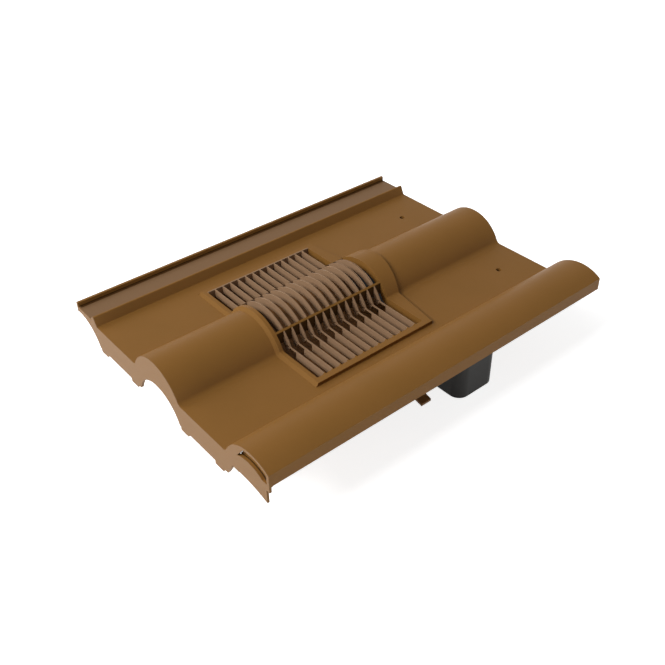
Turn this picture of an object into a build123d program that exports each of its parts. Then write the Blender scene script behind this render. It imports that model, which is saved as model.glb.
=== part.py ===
"""In-line roof tile vent: a double-roman tile with a louvred grille over its middle roll.

Frame: origin on the axis of the left nail hole, at the pan's top face. +X runs across the
tile towards the covering side lap, +Y up the slope from tail to head, +Z out of the roof.
Sections are drawn as (x, z) outlines and run along Y. All sizes are millimetres.
"""
import os
from math import sqrt

from build123d import *

# tile
tile_length = 418.0
head_margin = 41.0           # nail line to head edge
nail_pitch = 150.0
nail_radius = 3.0
skin = 3.0                   # wall of the moulding

# rolls
roll_pitch = 150.0
roll_x = 73.4                # middle roll's crest line
roll_radius = 41.5
roll_height = 26.0
roll_foot_fillet = 6.0
side_lap_x = 246.4           # outer face of the covering roll
side_lap_lip_z = 6.0

# water channel under the neighbour's roll
channel_left = -81.8
channel_floor_z = 4.5
upstand_z = 9.4
upstand_wall = 3.0
ridge_foot_x = -51.8
ridge_tip_x = -46.3
ridge_tip_width = 2.0
ridge_z = 9.6
pan_start_x = -40.8
channel_fillet = 2.0

# tail face
face_depth = 26.0
face_wall = 3.0
arch_radius = 36.3           # underside of the roll in the tail face
arch_crest_z = -1.1
lug_depth = 4.0
lug_width = 12.0
lug_slope = 5.0

# closed end of the covering roll
cap_wall = 2.2
cap_groove = 1.8             # gap behind the cap
cap_back_wall = 2.5
cap_back_lap = 4.0           # back wall's reach below the cap's top edge
recess_slant = 9.0
recess_rise = 12.0
cap_crest_z = 12.8
cap_crest_x = 215.0
cap_left_x = 203.0
cap_left_z = 9.5
cap_right_x = 242.0
cap_right_z = 4.0
cap_foot_z = -10.5
cap_foot_drop = 4.5
cap_rim = 1.6
cap_hook = 6.0               # corner that ties the cap to the roll's lip

# grille
opening_width = 180.0
opening_length = 132.4
opening_tail = 114.4         # tail edge of the tile to the opening
frame_rise = 3.5
frame_side = 6.5
frame_tail = 7.2
frame_head_corner = 7.5
frame_head_foot = 16.5
frame_head_crest = 22.5
frame_chamfer = 3.2
blade_count = 13
blade_wall = 1.3
blade_depth = 8.5
curb_wall = 2.0
rib_wall = 1.5
rib_offset = 29.8            # flank rib to the roll's crest line
slit_angle = 26.6            # slit across each blade above the roll's foot, from level
slit_width = 1.2
notch_strip = 1.3
notch_inner = 42.3
notch_outer = 49.3
notch_slant = 9.0

# batten nibs under the head
web_wall = 2.5
web_spacing = 20.0
web_depth = 20.0
web_tail = 32.0
nib_y = 17.0                 # nail line to the nib's bearing face
nib_wall = 4.0
nib_depth = 32.0

# drain tray under the grille
tray_wall = 2.5
tray_floor_z = -22.0
tray_side = 9.0              # opening to the tray's outer side
tray_tail = 11.0
tray_right_extra = 11.0
drain_height = 6.0
drain_width = 140.0
weir_height = 10.0
seat_gap = 0.2
tongue_width = 12.0
tongue_reach = 13.0
tongue_drop = 4.0
tongue_wall = 2.5
tongue_y = -188.6

# duct spigot
spigot_left = -25.3
spigot_width = 244.0
spigot_tail = 2.7            # opening's head edge to the spigot's tail face
spigot_length = 53.0
spigot_depth = 68.0
spigot_wall = 2.5
spigot_corner = 12.0
collar_depth = 8.0
collar_gap = 0.3

# worked out from the sizes above
tail_y = head_margin - tile_length
roll_centre_z = roll_height - roll_radius
lap_roll_x = roll_x + roll_pitch
opening_x = nail_pitch / 2
opening_y0 = tail_y + opening_tail
opening_y1 = opening_y0 + opening_length
blade_pitch = (opening_length + blade_wall) / (blade_count + 1)
below = 120.0
above = 80.0


def run(outline, y0, y1):
    """Extrude an (x, z) outline from y0 to y1."""
    return extrude(Plane.XZ.offset(-y0) * outline, amount=y1 - y0, dir=(0, 1, 0))


def rise(plan, z0, z1):
    """Extrude an (x, y) plan from z0 up to z1."""
    return extrude(Pos(0, 0, z0) * plan, amount=z1 - z0, dir=(0, 0, 1))


def block(x0, x1, y0, y1, z0, z1):
    return Pos((x0 + x1) / 2, (y0 + y1) / 2, (z0 + z1) / 2) * Box(x1 - x0, y1 - y0, z1 - z0)


def area(x0, x1, z0, z1):
    return Pos((x0 + x1) / 2, (z0 + z1) / 2) * Rectangle(x1 - x0, z1 - z0)


def corners_near(outline, spots, reach=0.6):
    found = []
    for vertex in outline.vertices():
        for x, z in spots:
            if abs(vertex.X - x) < reach and abs(vertex.Y - z) < reach:
                found.append(vertex)
    return found


def roll_foot_reach(out=0.0):
    return sqrt((roll_radius + out) ** 2 - (out - roll_centre_z) ** 2)


def roll_arc(x, out=0.0):
    """Arc of a whole roll, foot to foot, moved out from the weather face by out."""
    reach = roll_foot_reach(out)
    return ThreePointArc((x - reach, out), (x, roll_height + out), (x + reach, out))


def weather_outline():
    """Everything under the weather face, from the channel to the covering roll."""
    left = channel_left - roll_pitch
    reach = roll_foot_reach()
    ridge = [
        (ridge_foot_x, channel_floor_z),
        (ridge_tip_x - ridge_tip_width / 2, ridge_z),
        (ridge_tip_x + ridge_tip_width / 2, ridge_z),
        (pan_start_x, 0),
    ]
    channel = Polyline((left, channel_floor_z), *ridge, (roll_x - reach, 0))
    pan = Line((roll_x + reach, 0), (lap_roll_x - reach, 0))
    half_turn = side_lap_x - lap_roll_x
    side_z = roll_centre_z + sqrt(roll_radius ** 2 - half_turn ** 2)
    lap = ThreePointArc((lap_roll_x - reach, 0), (lap_roll_x, roll_height), (side_lap_x, side_z))
    side = Polyline((side_lap_x, side_z), (side_lap_x, -below), (left, -below), (left, channel_floor_z))
    outline = make_face([channel, roll_arc(roll_x), pan, lap, side])
    outline = fillet(corners_near(outline, ridge), channel_fillet * 0.45)
    feet = [(roll_x - reach, 0), (roll_x + reach, 0), (lap_roll_x - reach, 0)]
    return fillet(corners_near(outline, feet), roll_foot_fillet)


def roll_hump(out):
    """Outline of the middle roll and its two pans, moved out from the weather face by out."""
    left = pan_start_x
    right = lap_roll_x - roll_radius
    reach = roll_foot_reach(out)
    around = Polyline((roll_x + reach, out), (right, out), (right, -below), (left, -below),
                      (left, out), (roll_x - reach, out))
    outline = make_face([roll_arc(roll_x, out), around])
    feet = [(roll_x - reach, out), (roll_x + reach, out)]
    return fillet(corners_near(outline, feet), roll_foot_fillet - out)


weather = weather_outline()
weather_under = offset(weather, -skin, kind=Kind.INTERSECTION)
grille_top = roll_hump(frame_rise)
blade_under = roll_hump(frame_rise - blade_depth)


def skin_shell():
    """The thin tile itself: channel, pans and rolls, with the channel's upstand."""
    keep = area(channel_left, side_lap_x, -skin, above)
    keep -= area(lap_roll_x, side_lap_x + skin, -below, side_lap_lip_z)
    outline = (weather - weather_under) & keep
    outline += area(channel_left, channel_left + upstand_wall, channel_floor_z - skin, upstand_z)
    return run(outline, tail_y, head_margin)


def arch(x):
    return Pos(x, arch_crest_z - arch_radius) * Circle(arch_radius)


def lug(x):
    """Foot under the tail face, sloped towards +X."""
    half = lug_width / 2
    return Polygon(
        (x - half, -face_depth + 1),
        (x - half, -face_depth - lug_depth),
        (x + half, -face_depth - lug_depth),
        (x + half + lug_slope, -face_depth + 1),
        align=None,
    )


def face_outline():
    """Tail face: the weather outline above, arched over the rolls of the tile below."""
    face = weather & area(channel_left, side_lap_x, -face_depth, above)
    for x in (roll_x - roll_pitch, roll_x):
        face -= arch(x)
    face -= area(lap_roll_x - arch_radius + 6, side_lap_x + 1, -face_depth - 1, cap_foot_z)
    slope = Polygon(
        (lap_roll_x - arch_radius - 3, -face_depth - 1),
        (lap_roll_x - arch_radius + 7, cap_foot_z),
        (lap_roll_x - arch_radius + 7, -face_depth - 1),
        align=None,
    )
    face -= slope
    pan_left = roll_x - roll_pitch + arch_radius
    pan_right = roll_x + arch_radius
    for start in (pan_left, pan_right):
        face += lug(start + lug_width / 2)
    for end in (roll_x - arch_radius, lap_roll_x - arch_radius - lug_slope):
        face += lug(end - lug_width / 2 - lug_slope)
    return face


def cap_outline():
    """End of the covering roll, lower than the roll and hung a little below the face."""
    top = ThreePointArc((cap_left_x, cap_left_z), (cap_crest_x, cap_crest_z), (cap_right_x, cap_right_z))
    foot_left = (lap_roll_x - arch_radius + 8, cap_foot_z)
    foot_right = (cap_right_x, cap_foot_z - cap_foot_drop)
    sides = Polyline((cap_right_x, cap_right_z), foot_right)
    foot_mid = (lap_roll_x - 6, cap_foot_z + 0.3)
    foot = ThreePointArc(foot_right, foot_mid, foot_left)
    back = Polyline(foot_left, (cap_left_x, cap_left_z))
    return make_face([top, sides, foot, back])


def recess_outline():
    """Space inside the covering roll's end, above the cap."""
    right = side_lap_x - cap_rim
    room = Polygon(
        (cap_left_x, cap_left_z),
        (cap_left_x + recess_slant, cap_left_z + recess_rise),
        (lap_roll_x, roll_height),
        (right, roll_height),
        (right, cap_right_z - cap_back_lap),
        (cap_left_x, cap_right_z - cap_back_lap),
        align=None,
    )
    return room & (Pos(lap_roll_x, roll_centre_z) * Circle(roll_radius - cap_rim))


def tail_face():
    cap = cap_outline()
    recess = recess_outline()
    lip = area(cap_right_x - cap_hook, side_lap_x, cap_right_z - cap_back_lap, side_lap_lip_z + cap_rim)
    face = face_outline() - area(cap_left_x, side_lap_x + 1, -below, side_lap_lip_z) - (recess - cap)
    front = run(face, tail_y, tail_y + face_wall)
    plate = run(cap + (lip & weather), tail_y, tail_y + cap_wall)
    depth = cap_wall + cap_groove
    closure = recess - offset(cap, -cap_back_lap)
    closure &= area(cap_left_x, cap_right_x, -below, above)
    back = run(closure, tail_y + depth, tail_y + depth + cap_back_wall)
    return front + plate + back


def frame_plan():
    """Plan of the raised border; its head edge is a shallow arrow that parts the water."""
    left = opening_x - opening_width / 2 - frame_side
    right = opening_x + opening_width / 2 + frame_side
    foot = roll_foot_reach(frame_rise)
    tail = opening_y0 - frame_tail
    corner = opening_y1 + frame_head_corner
    foot_y = opening_y1 + frame_head_foot
    sides = Polyline((roll_x - foot, foot_y), (left, corner), (left, tail), (right, tail),
                     (right, corner), (roll_x + foot, foot_y))
    crest = ThreePointArc((roll_x + foot, foot_y), (roll_x, opening_y1 + frame_head_crest),
                          (roll_x - foot, foot_y))
    return make_face([sides, crest])


def frame_wedge(y0):
    """Sloped tail edge of the raised border, from the weather face up to its full rise."""
    low = Plane.XZ.offset(-y0) * roll_hump(0)
    high = Plane.XZ.offset(-(y0 + frame_chamfer)) * grille_top
    return loft([low, high], ruled=True)


def grille_frame():
    """Raised border round the opening, following the tile's rolls and pans."""
    y0 = opening_y0 - frame_tail
    y1 = opening_y1 + frame_head_crest + 1
    body = run(grille_top, y0 + frame_chamfer, y1) + frame_wedge(y0)
    body &= rise(frame_plan(), -skin, above)
    return body - run(weather_under, y0 - 1, y1 + 1)


def blade_band():
    left = opening_x - opening_width / 2
    right = opening_x + opening_width / 2
    return (grille_top - blade_under) & area(left, right, -below, above)


def foot_notch(side):
    """Gap cut in each blade beside the roll's foot; only a strip stays along the top."""
    top = frame_rise + 2
    low = frame_rise - blade_depth - 2
    shape = Polygon(
        (roll_x + side * notch_inner, top),
        (roll_x + side * (notch_inner - notch_slant), low),
        (roll_x + side * notch_outer, low),
        (roll_x + side * notch_outer, top),
        align=None,
    )
    return shape & roll_hump(frame_rise - notch_strip)


def foot_slit(side):
    """Narrow cut square to the flank, just above the notch, that leaves the same top strip."""
    angle = slit_angle if side > 0 else 180 - slit_angle
    middle = roll_radius + frame_rise - blade_depth / 2
    cut = Pos(roll_x, roll_centre_z) * Rot(0, 0, angle) * Pos(middle, 0) * Rectangle(2 * blade_depth, slit_width)
    return cut & roll_hump(frame_rise - notch_strip)


def blades():
    outline = blade_band()
    for side in (-1, 1):
        outline -= foot_notch(side)
        outline -= foot_slit(side)
    found = []
    for n in range(blade_count):
        y = opening_y0 + (n + 1) * blade_pitch - blade_wall
        found.append(run(outline, y, y + blade_wall))
    return found


def grille_ribs():
    """Lengthwise ribs, one on each flank of the roll."""
    band = blade_band()
    found = []
    for side in (-1, 1):
        x = roll_x + side * rib_offset
        rib = band & area(x - rib_wall / 2, x + rib_wall / 2, -below, above)
        found.append(run(rib, opening_y0, opening_y1))
    return found


def opening_prism(grow=0.0):
    half = opening_width / 2 + grow
    return block(opening_x - half, opening_x + half, opening_y0 - grow, opening_y1 + grow,
                 -below, above)


def curb():
    """Wall round the opening, as deep as the blades."""
    band = weather - blade_under
    band &= area(channel_left, lap_roll_x - roll_radius, -below, above)
    body = run(band, opening_y0 - curb_wall, opening_y1 + curb_wall)
    return body & opening_prism(curb_wall)


def batten_nib(x):
    """Two bearing webs and the nib that hooks over the batten."""
    outline = Polygon(
        (-web_tail, -skin + 0.5),
        (-web_tail, -skin - 2),
        (-web_tail + web_depth - skin, -web_depth),
        (nib_y, -web_depth),
        (nib_y, -nib_depth),
        (nib_y + nib_wall, -nib_depth),
        (nib_y + nib_wall + 3, -skin + 0.5),
        align=None,
    )
    found = []
    for side in (-1, 1):
        web_x = x + side * web_spacing / 2
        web = Plane.YZ.offset(web_x - web_wall / 2) * outline
        found.append(extrude(web, amount=web_wall, dir=(1, 0, 0)))
    half = web_spacing / 2
    found.append(block(x - half, x + half, nib_y, nib_y + nib_wall, -nib_depth, -skin + 0.5))
    return found


def roof_tile():
    tile = skin_shell() + tail_face() + grille_frame() + curb()
    tile -= opening_prism()
    tile += blades() + grille_ribs()
    for x in (0, nail_pitch):
        tile += batten_nib(x)
        tile -= Pos(x, 0, 0) * Cylinder(nail_radius, 4 * skin)
    return tile


def tray_box():
    x0 = opening_x - opening_width / 2 - tray_side
    x1 = opening_x + opening_width / 2 + tray_side + tray_right_extra
    return x0, x1, opening_y0 - tray_tail, spigot_y1() + tray_wall


def spigot_y0():
    return opening_y1 + spigot_tail


def spigot_y1():
    return spigot_y0() + spigot_length


def spigot_plan(inset):
    x = spigot_left + spigot_width / 2
    y = (spigot_y0() + spigot_y1()) / 2
    shape = RectangleRounded(spigot_width - 2 * inset, spigot_length - 2 * inset, spigot_corner - inset)
    return Pos(x, y) * shape


def drain_tray():
    """Tray that seals under the tile, sheds rain to the tail and carries the duct."""
    x0, x1, y0, y1 = tray_box()
    right = spigot_left + spigot_width
    under = offset(weather, -skin - seat_gap, kind=Kind.INTERSECTION)
    under &= area(x0, x1, tray_floor_z, above)
    ring = block(x0, x1, y0, y1, -below, above)
    ring -= block(x0 + tray_wall, x1 - tray_wall, y0 + tray_wall, y1 - tray_wall, -below, above)
    walls = run(under, y0, y1) & ring
    floor_top = tray_floor_z + tray_wall
    floor = block(spigot_left, right, y0, y1, tray_floor_z, floor_top)
    floor -= block(x1, right + 1, y0 - 1, tongue_y - 2 * tongue_width, -below, above)
    tray = walls + floor
    weir_y = spigot_y0() - tray_wall
    tray += block(x0, x1, weir_y, weir_y + tray_wall, tray_floor_z, floor_top + weir_height)
    tray -= block(opening_x - drain_width / 2, opening_x + drain_width / 2, y0 - 1, y0 + tray_wall + 1,
                  floor_top, floor_top + drain_height)
    inset = spigot_wall + collar_gap
    collar = rise(spigot_plan(inset), tray_floor_z - collar_depth, tray_floor_z)
    outlet = spigot_plan(inset + tray_wall)
    collar -= rise(outlet, -below, 0)
    tray += collar
    hole = rise(outlet, tray_floor_z - 1, floor_top + 1)
    tray -= hole & block(x0 + tray_wall, x1 - tray_wall, y0, y1, -below, above)
    return tray + tongue()


def tongue():
    """Side clip: a thin blade that slopes down past the tray's edge."""
    right = spigot_left + spigot_width
    top = tray_floor_z + tray_wall
    outline = Polygon(
        (right - 4, top),
        (right, top),
        (right + tongue_reach, top - tongue_drop),
        (right + tongue_reach, top - tongue_drop - tongue_wall),
        (right - 4, top - tongue_wall),
        align=None,
    )
    return run(outline, tongue_y - tongue_width / 2, tongue_y + tongue_width / 2)


def duct_spigot():
    """Flat rounded spigot that pushes over the tray's collar."""
    body = rise(spigot_plan(0), -spigot_depth, tray_floor_z)
    return body - rise(spigot_plan(spigot_wall), -below, 0)


def write(name, shape):
    shape = shape.clean()
    print(name, len(shape.solids()), "solid", round(shape.volume / 1000, 1), "cm3")
    export_step(shape, f"parts/{name}.step")


os.makedirs("parts", exist_ok=True)
write("roof_tile", roof_tile())
write("drain_tray", drain_tray())
write("duct_spigot", duct_spigot())
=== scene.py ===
# Roof tile vent: the finish of its moulded pieces, the floor, the lights and the camera.
# Lengths are in metres throughout.
from math import pi, radians

import bpy
from mathutils import Matrix, Vector


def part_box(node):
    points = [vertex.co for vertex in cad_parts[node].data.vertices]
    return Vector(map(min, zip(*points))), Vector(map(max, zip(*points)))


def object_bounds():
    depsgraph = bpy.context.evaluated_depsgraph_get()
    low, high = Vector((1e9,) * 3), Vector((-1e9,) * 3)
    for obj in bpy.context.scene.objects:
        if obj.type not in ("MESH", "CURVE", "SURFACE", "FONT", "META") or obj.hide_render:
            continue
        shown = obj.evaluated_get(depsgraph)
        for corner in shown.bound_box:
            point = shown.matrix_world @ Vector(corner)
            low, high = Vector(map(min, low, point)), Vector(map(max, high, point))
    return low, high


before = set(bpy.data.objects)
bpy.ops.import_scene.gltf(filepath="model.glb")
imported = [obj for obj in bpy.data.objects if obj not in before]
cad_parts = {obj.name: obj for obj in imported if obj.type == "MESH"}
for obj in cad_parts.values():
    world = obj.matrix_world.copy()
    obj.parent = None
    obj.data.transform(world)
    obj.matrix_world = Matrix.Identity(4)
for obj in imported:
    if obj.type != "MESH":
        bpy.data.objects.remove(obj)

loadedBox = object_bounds()
bpy.ops.object.select_all(action="DESELECT")
tileLow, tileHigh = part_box("roof_tile")
tileCentre = Vector(((tileLow[0] + tileHigh[0]) / 2, (tileLow[1] + tileHigh[1]) / 2, 0))


# sRGB hex to the linear values that sockets take
def colour(text):
    shades = [int(text[i:i + 2], 16) / 255 for i in (1, 3, 5)]
    linear = [s / 12.92 if s <= 0.04045 else ((s + 0.055) / 1.055) ** 2.4 for s in shades]
    return (*linear, 1.0)


# one node with its settings; links are (socket, node that feeds it, that node's output)
def addNode(tree, kind, place, settings=(), links=()):
    node = tree.nodes.new(kind)
    node.location = place
    for key, value in dict(settings).items():
        if isinstance(key, int) or key in node.inputs:
            node.inputs[key].default_value = value
        else:
            setattr(node, key, value)
    for socket, source, result in links:
        tree.links.new(source.outputs[result], node.inputs[socket])
    return node


def newTree(owner):
    owner.use_nodes = True
    owner.node_tree.nodes.clear()
    return owner.node_tree


# Polypropylene, injection moulded: satin with little gloss, faintly mottled where the melt
# flowed, with the grain of a spark-eroded mould and edges that catch a thin line of light.
# The real grain is about 0.1 mm, too fine to show, so it is drawn at 0.7 to 0.9 mm.
tilePlastic = {
    "name": "mouldedPolypropyleneBrown",
    "node": "roof_tile",
    "dark": "#785426",
    "light": "#80592B",
    "ior": 1.49,
    "roughness": 0.46,
    "gloss": 0.1,
    "mottle": {"size": 0.045, "detail": 3.0},
    "grain": {"size": 0.0007, "detail": 2.0, "height": 0.00003, "strength": 0.6},
    "edge": 0.0002,
    # painted shade: shut and open are how much of its surroundings a spot sees, keep is the plain
    # colour's share where it is shut, and the colour darkens towards the tint in between
    "paintedCreviceShade": {"tint": "#33210C", "reach": 0.004, "shut": 0.2, "open": 0.5, "keep": 0.35},
    # boxes where the plastic has another tone or roughness, most of them painted sheen or painted
    # shade
    "shadeAndSheenBoxes": [
        # painted sheen: a paler, greyer channel floor
        {"tint": "#765A3F", "roughness": 0.46,
         "low": (-0.0786, -0.378, 0.0), "high": (-0.0522, 0.042, 0.0075)},
        # painted shade along the foot of the upstand
        {"tint": "#452C11", "roughness": 0.7,
         "low": (-0.082, -0.375, 0.0), "high": (-0.0756, 0.042, 0.0055)},
        # painted sheen: paler, greyer blade faces, standing in for the reflection they catch
        {"tint": "#8C6F55", "roughness": 0.46,
         "low": (-0.0166, -0.2626, -0.02), "high": (0.1634, -0.1302, 0.04)},
        # the rib on the right flank keeps its plain brown, without the painted sheen, and painted
        # shade darkens it lower down
        {"tint": "#7D5829", "roughness": 0.6,
         "low": (0.1021, -0.2626, 0.0), "high": (0.1043, -0.1302, 0.03)},
        {"tint": "#3E280F", "roughness": 0.8,
         "low": (0.1021, -0.2626, 0.0), "high": (0.1043, -0.1302, 0.017)},
        # duller chamfer at the tail end of the grille's frame
        {"tint": "#78552A", "roughness": 0.9,
         "low": (-0.024, -0.2702, -0.001), "high": (0.171, -0.2665, 0.04)},
        # painted sheen: a paler, greyer tail face
        {"tint": "#7E5D39", "roughness": 0.46,
         "low": (-0.083, -0.378, -0.04), "high": (0.2475, -0.3765, 0.04)},
    ],
}
trayPlastic = {
    "name": "mouldedPolypropyleneDarkBrown",
    "node": "drain_tray",
    "dark": "#6A4826",
    "light": "#714E2B",
    "ior": 1.49,
    "roughness": 0.5,
    "gloss": 0.1,
    "mottle": {"size": 0.04, "detail": 3.0},
    "grain": {"size": 0.0009, "detail": 2.0, "height": 0.00003, "strength": 0.6},
    "edge": 0.0003,
    # painted shade in crevices, as on the tile
    "paintedCreviceShade": {"tint": "#1E1812", "reach": 0.007, "shut": 0.2, "open": 0.75, "keep": 0.35},
    "shadeAndSheenBoxes": [],
}
spigotPlastic = {
    "name": "mouldedPolypropyleneBlack",
    "node": "duct_spigot",
    "dark": "#3A3938",
    "light": "#403F3D",
    "ior": 1.49,
    "roughness": 0.5,
    "gloss": 0.1,
    "mottle": {"size": 0.04, "detail": 3.0},
    "grain": {"size": 0.0009, "detail": 2.0, "height": 0.00003, "strength": 0.6},
    "edge": 0.0003,
    # painted shade in crevices, as on the tile
    "paintedCreviceShade": {"tint": "#1E1812", "reach": 0.007, "shut": 0.2, "open": 0.75, "keep": 0.35},
    "shadeAndSheenBoxes": [],
}
softSamples = 6    # rays that each crevice and edge node sends out


# 1 inside the tone box and 0 outside it
def boxMask(tree, place, toneBox, row):
    middle = [(a + b) / 2 for a, b in zip(toneBox["low"], toneBox["high"])]
    half = [(b - a) / 2 for a, b in zip(toneBox["low"], toneBox["high"])]
    local = addNode(tree, "ShaderNodeVectorMath", (-800, row),
                    {"operation": "SUBTRACT", 1: middle}, [(0, place, "Object")])
    share = addNode(tree, "ShaderNodeVectorMath", (-640, row),
                    {"operation": "DIVIDE", 1: half}, [(0, local, 0)])
    size = addNode(tree, "ShaderNodeVectorMath", (-480, row),
                   {"operation": "ABSOLUTE"}, [(0, share, 0)])
    axes = addNode(tree, "ShaderNodeSeparateXYZ", (-320, row), links=[(0, size, 0)])
    flat = addNode(tree, "ShaderNodeMath", (-160, row),
                   {"operation": "MAXIMUM"}, [(0, axes, 0), (1, axes, 1)])
    most = addNode(tree, "ShaderNodeMath", (0, row),
                   {"operation": "MAXIMUM"}, [(0, flat, 0), (1, axes, 2)])
    return addNode(tree, "ShaderNodeMath", (160, row),
                   {"operation": "LESS_THAN", 1: 1.0}, [(0, most, 0)])


def mouldedPlastic(settings):
    mottle, grain, paintedCreviceShade = settings["mottle"], settings["grain"], settings["paintedCreviceShade"]
    material = bpy.data.materials.new(settings["name"])
    tree = newTree(material)
    place = addNode(tree, "ShaderNodeTexCoord", (-1000, 0))

    # the plain colour, in two near shades
    flow = addNode(tree, "ShaderNodeTexNoise", (-800, 200),
                   {"Scale": 1 / mottle["size"], "Detail": mottle["detail"]},
                   [("Vector", place, "Object")])
    paint = addNode(tree, "ShaderNodeMix", (-600, 200),
                    {"data_type": "RGBA", 6: colour(settings["dark"]),
                     7: colour(settings["light"])},
                    [("Factor", flow, "Fac")])

    # each box changes the colour and the roughness inside it, mostly painting sheen or shade
    roughnessLinks = []
    for count, toneBox in enumerate(settings["shadeAndSheenBoxes"]):
        row = 450 + 250 * count
        mask = boxMask(tree, place, toneBox, row)
        paint = addNode(tree, "ShaderNodeMix", (320, row),
                        {"data_type": "RGBA", 7: colour(toneBox["tint"])},
                        [("Factor", mask, 0), (6, paint, 2)])
        satin = addNode(tree, "ShaderNodeMix", (480, row),
                        {2: settings["roughness"], 3: toneBox["roughness"]},
                        [("Factor", mask, 0)] + [(2, *link[1:]) for link in roughnessLinks])
        roughnessLinks = [("Roughness", satin, 0)]

    # painted shade: darker in crevices and hollows, where a spot sees little of its surroundings
    hollow = addNode(tree, "ShaderNodeAmbientOcclusion", (640, 450),
                     {"samples": softSamples, "Distance": paintedCreviceShade["reach"]})
    plain = addNode(tree, "ShaderNodeMapRange", (800, 450),
                    {"From Min": paintedCreviceShade["shut"], "From Max": paintedCreviceShade["open"],
                     "To Min": paintedCreviceShade["keep"], "To Max": 1.0},
                    [("Value", hollow, "AO")])
    paint = addNode(tree, "ShaderNodeMix", (960, 300),
                    {"data_type": "RGBA", 6: colour(paintedCreviceShade["tint"])},
                    [("Factor", plain, 0), (7, paint, 2)])

    # the mould's grain over softened edges
    pits = addNode(tree, "ShaderNodeTexNoise", (-800, -200),
                   {"Scale": 1 / grain["size"], "Detail": grain["detail"]},
                   [("Vector", place, "Object")])
    edge = addNode(tree, "ShaderNodeBevel", (-800, -450),
                   {"samples": softSamples, "Radius": settings["edge"]})
    bump = addNode(tree, "ShaderNodeBump", (-600, -250),
                   {"Strength": grain["strength"], "Distance": grain["height"]},
                   [("Height", pits, "Fac"), ("Normal", edge, "Normal")])

    shader = addNode(tree, "ShaderNodeBsdfPrincipled", (1150, 0),
                     {"IOR": settings["ior"], "Roughness": settings["roughness"],
                      "Specular IOR Level": settings["gloss"]},
                     [("Base Color", paint, 2), ("Normal", bump, "Normal")] + roughnessLinks)
    addNode(tree, "ShaderNodeOutputMaterial", (1450, 0), links=[("Surface", shader, "BSDF")])
    return material


def dressPiece(settings):
    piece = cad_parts[settings["node"]]
    piece.data.materials.clear()
    piece.data.materials.append(mouldedPlastic(settings))
    print("dressed", settings["node"])


# 1 for what the camera sees, straight on, in a reflection or through glass
def addSeen(tree):
    path = addNode(tree, "ShaderNodeLightPath", (-800, 300))
    direct = addNode(tree, "ShaderNodeMath", (-600, 300), {"operation": "MAXIMUM"},
                     [(0, path, "Is Camera Ray"), (1, path, "Is Glossy Ray")])
    return addNode(tree, "ShaderNodeMath", (-400, 300), {"operation": "MAXIMUM"},
                   [(0, direct, 0), (1, path, "Is Transmission Ray")])


white = colour("#FFFFFF")
studioFloor = {"size": 12.0, "drop": 0.0002, "paint": "#E6E6E6", "lift": 0.8}


# Matt paint, pale grey. The lift brings it up to white for the camera and keeps the shadow.
def makeFloor(settings):
    bpy.ops.mesh.primitive_plane_add(size=settings["size"])
    floor = bpy.context.object
    floor.name = "studioFloor"
    floor.location.z = loadedBox[0][2] - settings["drop"]
    bpy.ops.object.transform_apply(location=True)
    material = bpy.data.materials.new("mattPaintedFloor")
    tree = newTree(material)
    paint = addNode(tree, "ShaderNodeBsdfDiffuse", (-200, 0), {"Color": colour(settings["paint"])})
    dim = addNode(tree, "ShaderNodeMath", (-400, -200),
                  {"operation": "MULTIPLY", 1: settings["lift"]}, [(0, addSeen(tree), 0)])
    glow = addNode(tree, "ShaderNodeEmission", (-200, -200), {"Color": white},
                   [("Strength", dim, 0)])
    both = addNode(tree, "ShaderNodeAddShader", (0, 0), links=[(0, paint, 0), (1, glow, 0)])
    addNode(tree, "ShaderNodeOutputMaterial", (200, 0), links=[("Surface", both, 0)])
    floor.data.materials.append(material)
    print("floor made")


studioWorld = {"paint": "#FFFFFF", "strength": 0.14, "seenStrength": 1.0}


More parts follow.
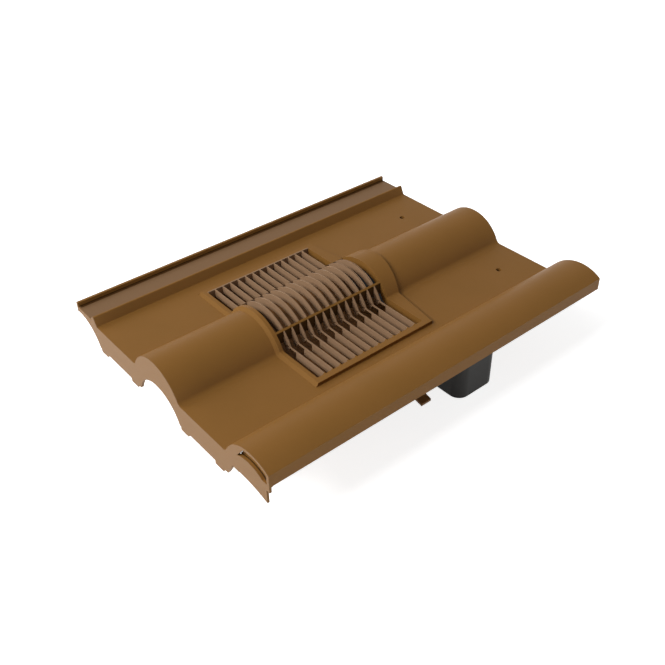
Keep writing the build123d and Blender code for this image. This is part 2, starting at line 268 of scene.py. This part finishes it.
# Even light from all round, which the camera sees as plain white
def makeWorld(settings):
    world = bpy.data.worlds.new("studioWorld")
    tree = newTree(world)
    soft = addNode(tree, "ShaderNodeBackground", (-200, 0),
                   {"Color": colour(settings["paint"]), "Strength": settings["strength"]})
    backdrop = addNode(tree, "ShaderNodeBackground", (-200, -200),
                       {"Color": white, "Strength": settings["seenStrength"]})
    mix = addNode(tree, "ShaderNodeMixShader", (0, 0),
                  links=[("Fac", addSeen(tree), 0), (1, soft, 0), (2, backdrop, 0)])
    addNode(tree, "ShaderNodeOutputWorld", (200, 0), links=[("Surface", mix, 0)])
    bpy.context.scene.world = world
    print("world made")


# The point that far from the tile's centre. A turn of 0 is at the tail, 90 at the side lap.
def pointAround(settings):
    turn = Matrix.Rotation(radians(settings["turn"]), 3, "Z")
    rise = Matrix.Rotation(-radians(settings["height"]), 3, "X")
    return tileCentre + turn @ rise @ Vector((0, -settings["away"], 0))


tailLight = {"name": "tailLight", "turn": 355, "height": 42, "away": 4.0, "size": 1.8,
             "power": 143}
leftLight = {"name": "leftLight", "turn": 300, "height": 28, "away": 4.0, "size": 2.4,
             "power": 92}
rightLight = {"name": "rightLight", "turn": 88, "height": 5, "away": 4.0, "size": 2.4,
              "power": 52}


def addLight(settings):
    place = pointAround(settings)
    bpy.ops.object.light_add(type="AREA", location=place)
    light = bpy.context.object
    light.name = settings["name"]
    light.data.size = settings["size"]
    light.data.energy = settings["power"]
    light.rotation_euler = (tileCentre - place).to_track_quat("-Z", "Y").to_euler()
    print("light", settings["name"])


# aside is how far the aim lies from the tile's centre
photoCamera = {"lens": 46.54, "sensor": 36, "turn": 50.83, "height": 37.19, "roll": -1.12,
               "away": 0.8383, "aside": (0.0361, -0.0381, 0), "nearest": 0.01}


def addCamera(settings):
    bpy.ops.object.camera_add(location=pointAround(settings) + Vector(settings["aside"]))
    camera = bpy.context.object
    turn = Matrix.Rotation(radians(settings["turn"]), 3, "Z")
    tilt = Matrix.Rotation(pi / 2 - radians(settings["height"]), 3, "X")
    roll = Matrix.Rotation(radians(settings["roll"]), 3, "Z")
    camera.rotation_euler = (turn @ tilt @ roll).to_euler()
    camera.data.lens = settings["lens"]
    camera.data.sensor_width = settings["sensor"]
    camera.data.clip_start = settings["nearest"]
    bpy.context.scene.camera = camera
    print("camera set")


for plastic in (tilePlastic, trayPlastic, spigotPlastic):
    dressPiece(plastic)
makeFloor(studioFloor)
makeWorld(studioWorld)
for light in (tailLight, leftLight, rightLight):
    addLight(light)
addCamera(photoCamera)
bpy.context.scene.view_settings.view_transform = "Standard"
